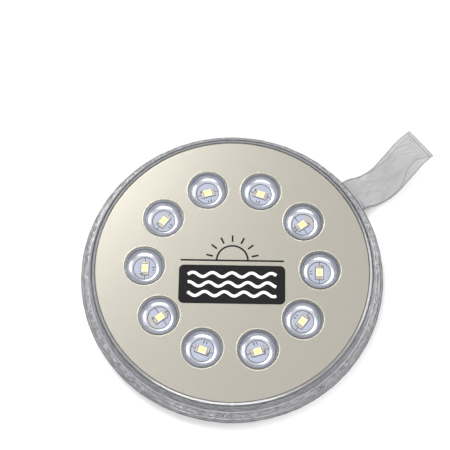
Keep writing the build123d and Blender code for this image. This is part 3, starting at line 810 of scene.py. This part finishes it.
def solar_prints():
    """Plain pale bars on the orange face, where a real light carries its notes, and the lining of the
    valve's well."""
    low, high = face_z - 0.03, face_z + 0.02
    bar_w, gap, shortest = 0.62, 0.8, 0.6
    rng = np.random.default_rng(5)

    def note_bars(x0, x1, y_top, rows, pitch):
        """Rows of broken bars with ragged ends, from y_top down."""
        mid, half = (x0 + x1) / 2, (x1 - x0) / 2
        out = []
        for row in range(rows):
            y = -row * pitch
            x = -half
            end = half * (1 - 0.35 * rng.random())
            while x < end - shortest:
                step = rng.uniform(1.6, 4.2)
                a, b = x, min(end, x + step)
                out.append(ribbon_shape([(mid + a, y_top + y), (mid + b, y_top + y)], bar_w, low, high))
                x = b + gap
        return out
    notes = note_bars(-28, -8.5, -43.4, 4, 2.3) + note_bars(9.5, 27, -43.2, 4, 2.4)
    rng.random(20)  # unused draws, which move the random sequence on before the bars below
    joined("face_note_bars", notes, print_pale, "module")
    tall = []
    for row in range(3):
        x = -43.2 - row * 2.4
        y = -14.0 + row * 1.2
        while y < 15 - row * 1.5:
            step = rng.uniform(1.6, 4.6)
            tall.append(ribbon_shape([(x, y), (x, min(y + step, 16))], bar_w, low, high))
            y += step + gap
    joined("face_side_bars", tall, print_pale, "module")
    arc_r, arc_w = 12.6, 0.6
    arc = []
    for a0 in np.arange(100, 262, 9.0):
        a1 = a0 + rng.uniform(4.0, 7.0)
        path = [(valve_x + arc_r * math.cos(math.radians(a)), arc_r * math.sin(math.radians(a)))
                for a in np.linspace(a0, a1, 5)]
        arc.append(ribbon_shape(path, arc_w, low, high))
    joined("face_valve_arc", arc, print_pale, "module")
    reach, roof, wall = 8.6, 7.15, 0.15
    section = [(reach, face_z + 0.3), (reach, roof), (reach - wall, roof), (reach - wall, face_z + 0.3)]
    lining = [turned_rings(section, segments=72), disc(reach - 0.2, roof - 0.25, roof)]
    joined("valve_well_lining", lining, orange, "module", shift=(valve_x, 0))


pictogram()
hole_lips()
board_marks_and_shade()
solar_prints()


# ------------------------------------------------------------------ stage, lights and camera
RIGHT = Vector((math.cos(VIEW_TURN), math.sin(VIEW_TURN), 0))  # the picture's right, on the floor
AWAY = Vector((-math.sin(VIEW_TURN), math.cos(VIEW_TURN), 0))
FLOOR_HALF, FLOOR_Z = 3.0, -0.0002
WORLD_AT_HORIZON, WORLD_OVERHEAD = 0.30, 0.95
LIGHTS = (  # name, place from the picture's side, size, power
    ("key", (-0.62, 0.86, 1.3), (0.8, 0.62), 15),
    ("fill", (1.2, 0.35, 0.8), (1.0, 0.8), 8),
    ("front", (-0.1, -0.95, 1.0), (1.5, 0.3), 10),
)


def area_light(name, place, size, power):
    """An area light that faces the origin."""
    data = bpy.data.lights.new(name, "AREA")
    data.shape = "RECTANGLE"
    data.size, data.size_y = size
    data.energy = power
    obj = bpy.data.objects.new(name, data)
    bpy.context.scene.collection.objects.link(obj)
    obj.location = place
    obj.rotation_euler = (-place).to_track_quat("-Z", "Y").to_euler()


def stage():
    """A pale floor, a world that is brighter overhead, and three area lights."""
    mesh = bpy.data.meshes.new("floor")
    s, z = FLOOR_HALF, FLOOR_Z
    mesh.from_pydata([(-s, -s, z), (s, -s, z), (s, s, z), (-s, s, z)], [], [(0, 1, 2, 3)])
    mesh.materials.append(surface("pale floor", (0.90, 0.90, 0.90), 0.9, vary=0.004, grain=60, bump=0.0))
    floor = bpy.data.objects.new("floor", mesh)
    bpy.context.scene.collection.objects.link(floor)
    world = bpy.data.worlds.new("studio")
    bpy.context.scene.world = world
    world.use_nodes = True
    nt = world.node_tree
    coord = nt.nodes.new("ShaderNodeTexCoord")
    split = nt.nodes.new("ShaderNodeSeparateXYZ")
    rise = nt.nodes.new("ShaderNodeMapRange")
    rise.inputs["From Min"].default_value = 0.0
    rise.inputs["From Max"].default_value = 1.0
    rise.inputs["To Min"].default_value = WORLD_AT_HORIZON
    rise.inputs["To Max"].default_value = WORLD_OVERHEAD
    nt.links.new(coord.outputs["Generated"], split.inputs["Vector"])
    nt.links.new(split.outputs["Z"], rise.inputs["Value"])
    nt.links.new(rise.outputs["Result"], nt.nodes["Background"].inputs["Strength"])
    nt.nodes["Background"].inputs["Color"].default_value = (1, 1, 1, 1)
    for name, (x, y, up), size, power in LIGHTS:
        area_light(name, RIGHT * x + AWAY * y + Vector((0, 0, up)), size, power)


def camera():
    """The photograph's camera, with the plate a little right of and below the middle."""
    elevation, distance = math.radians(70.5), 0.533
    aim_left, aim_up = 0.0033, 0.0179
    focal_px, image_px, sensor = 1268, 450, 36
    plate_middle = Vector((0, 0, plate_top * MM))
    toward = Vector((math.cos(elevation) * math.sin(VIEW_TURN),
                     -math.cos(elevation) * math.cos(VIEW_TURN), math.sin(elevation)))
    place = plate_middle + toward * distance
    aim = plate_middle - RIGHT * aim_left + RIGHT.cross(-toward) * aim_up
    data = bpy.data.cameras.new("camera")
    data.sensor_width = sensor
    data.lens = focal_px / image_px * sensor
    obj = bpy.data.objects.new("camera", data)
    bpy.context.scene.collection.objects.link(obj)
    obj.location = place
    obj.rotation_euler = (aim - place).to_track_quat("-Z", "Y").to_euler()
    bpy.context.scene.camera = obj


stage()
camera()
bpy.context.scene.view_settings.view_transform = "Standard"
